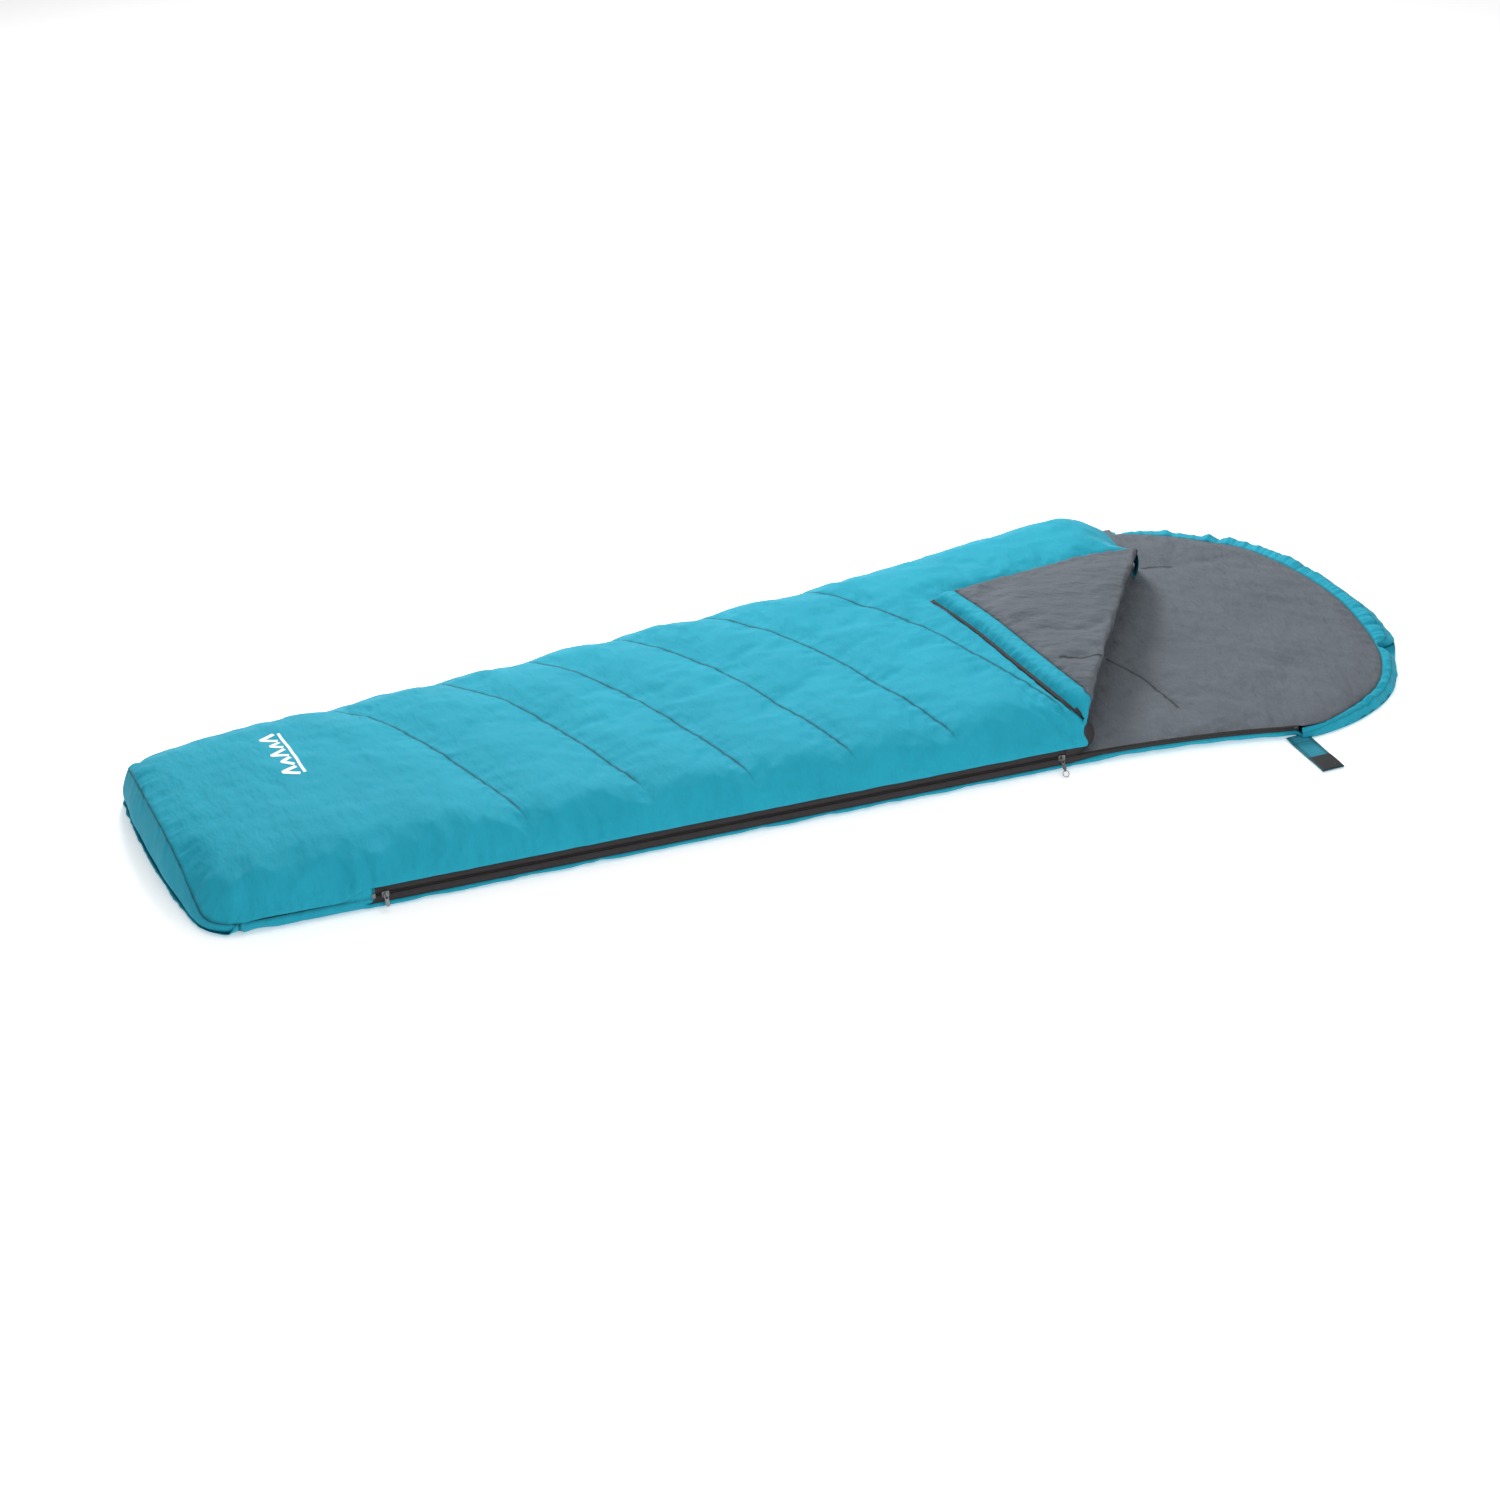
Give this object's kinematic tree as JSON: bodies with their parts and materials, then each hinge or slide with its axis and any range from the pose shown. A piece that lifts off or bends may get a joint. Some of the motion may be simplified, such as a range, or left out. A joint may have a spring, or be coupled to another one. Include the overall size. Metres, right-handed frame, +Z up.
{
  "type": "sleeping bag",
  "caption": "Hooded tapered sleeping bag lying flat, quilted cover zipped along one side, its top corner folded back to show the lining.",
  "frame": {"origin": "centre of the underside, on the centre line, half way between foot and hood", "axes": "+X from the foot to the hood, +Y towards the side with no zip, +Z up"},
  "size_m": [2.2189, 0.8831, 0.1132],
  "materials": {
    "shell": "matte",
    "lining": "matte",
    "batting": "matte",
    "strap": "matte",
    "hook": "matte",
    "zip_tape": "matte",
    "zip_coil": "satin",
    "thread": "matte",
    "elastic": "matte",
    "metal": "satin",
    "print": "matte"
  },
  "bodies": {
    "bag": {"bottom_shell": "shell", "bottom_batting": "batting", "bottom_lining": "lining", "top_shell": "shell", "top_batting": "batting", "top_lining": "lining", "foot_panel": "shell", "foot_batting": "batting", "foot_lining": "lining", "hood_hem": "shell", "hood_elastic": "elastic", "lower_tape": "zip_tape", "upper_tape": "zip_tape", "lower_coil": "zip_coil", "upper_coil": "zip_coil", "zip_bottom_stop": "metal", "hood_end_stop": "metal", "tab_root": "strap", "bar_tack": "thread"},
    "flap": {"flap_shell": "shell", "flap_batting": "batting", "flap_lining": "lining", "flap_facing": "shell", "flap_tape": "zip_tape", "flap_coil": "zip_coil", "flap_top_stop": "metal", "loop_patch": "hook"},
    "upper_slider": {"upper_slider_body": "metal"},
    "upper_pull": {"upper_pull_tab": "metal"},
    "upper_ring": {"upper_pull_ring": "metal"},
    "lower_slider": {"lower_slider_body": "metal"},
    "lower_pull": {"lower_pull_tab": "metal"},
    "tab": {"tab_strap": "strap", "hook_patch": "hook"}
  },
  "joints": [
    {"name": "flap_fold", "type": "hinge", "parent": "bag", "child": "flap", "pos_m": [0.39, -0.29, 0.062], "axis": [0.6048, 0.7939, 0.0625], "range_deg": [0, 178]},
    {"name": "upper_slider_travel", "type": "slide", "parent": "bag", "child": "upper_slider", "axis": [0.9983, -0.0578, 0], "range_m": [-1.12, 0]},
    {"name": "upper_pull_swing", "type": "hinge", "parent": "upper_slider", "child": "upper_pull", "pos_m": [0.3348, -0.30878, 0.025], "axis": [-0.9983, 0.0578, 0], "range_deg": [0, 130]},
    {"name": "upper_ring_swing", "type": "hinge", "parent": "upper_pull", "child": "upper_ring", "pos_m": [0.33404, -0.32181, 0.00945], "axis": [-0.9983, 0.0578, 0], "range_deg": [0, 90]},
    {"name": "lower_slider_travel", "type": "slide", "parent": "bag", "child": "lower_slider", "axis": [0.9983, -0.0578, 0], "range_m": [0, 1.12]},
    {"name": "lower_pull_swing", "type": "hinge", "parent": "lower_slider", "child": "lower_pull", "pos_m": [-0.8222, -0.24179, 0.025], "axis": [-0.9983, 0.0578, 0], "range_deg": [0, 130]},
    {"name": "tab_fold", "type": "hinge", "parent": "bag", "child": "tab", "pos_m": [0.748, -0.392, 0.0025], "axis": [-1, 0, 0], "range_deg": [0, 100]}
  ]
}
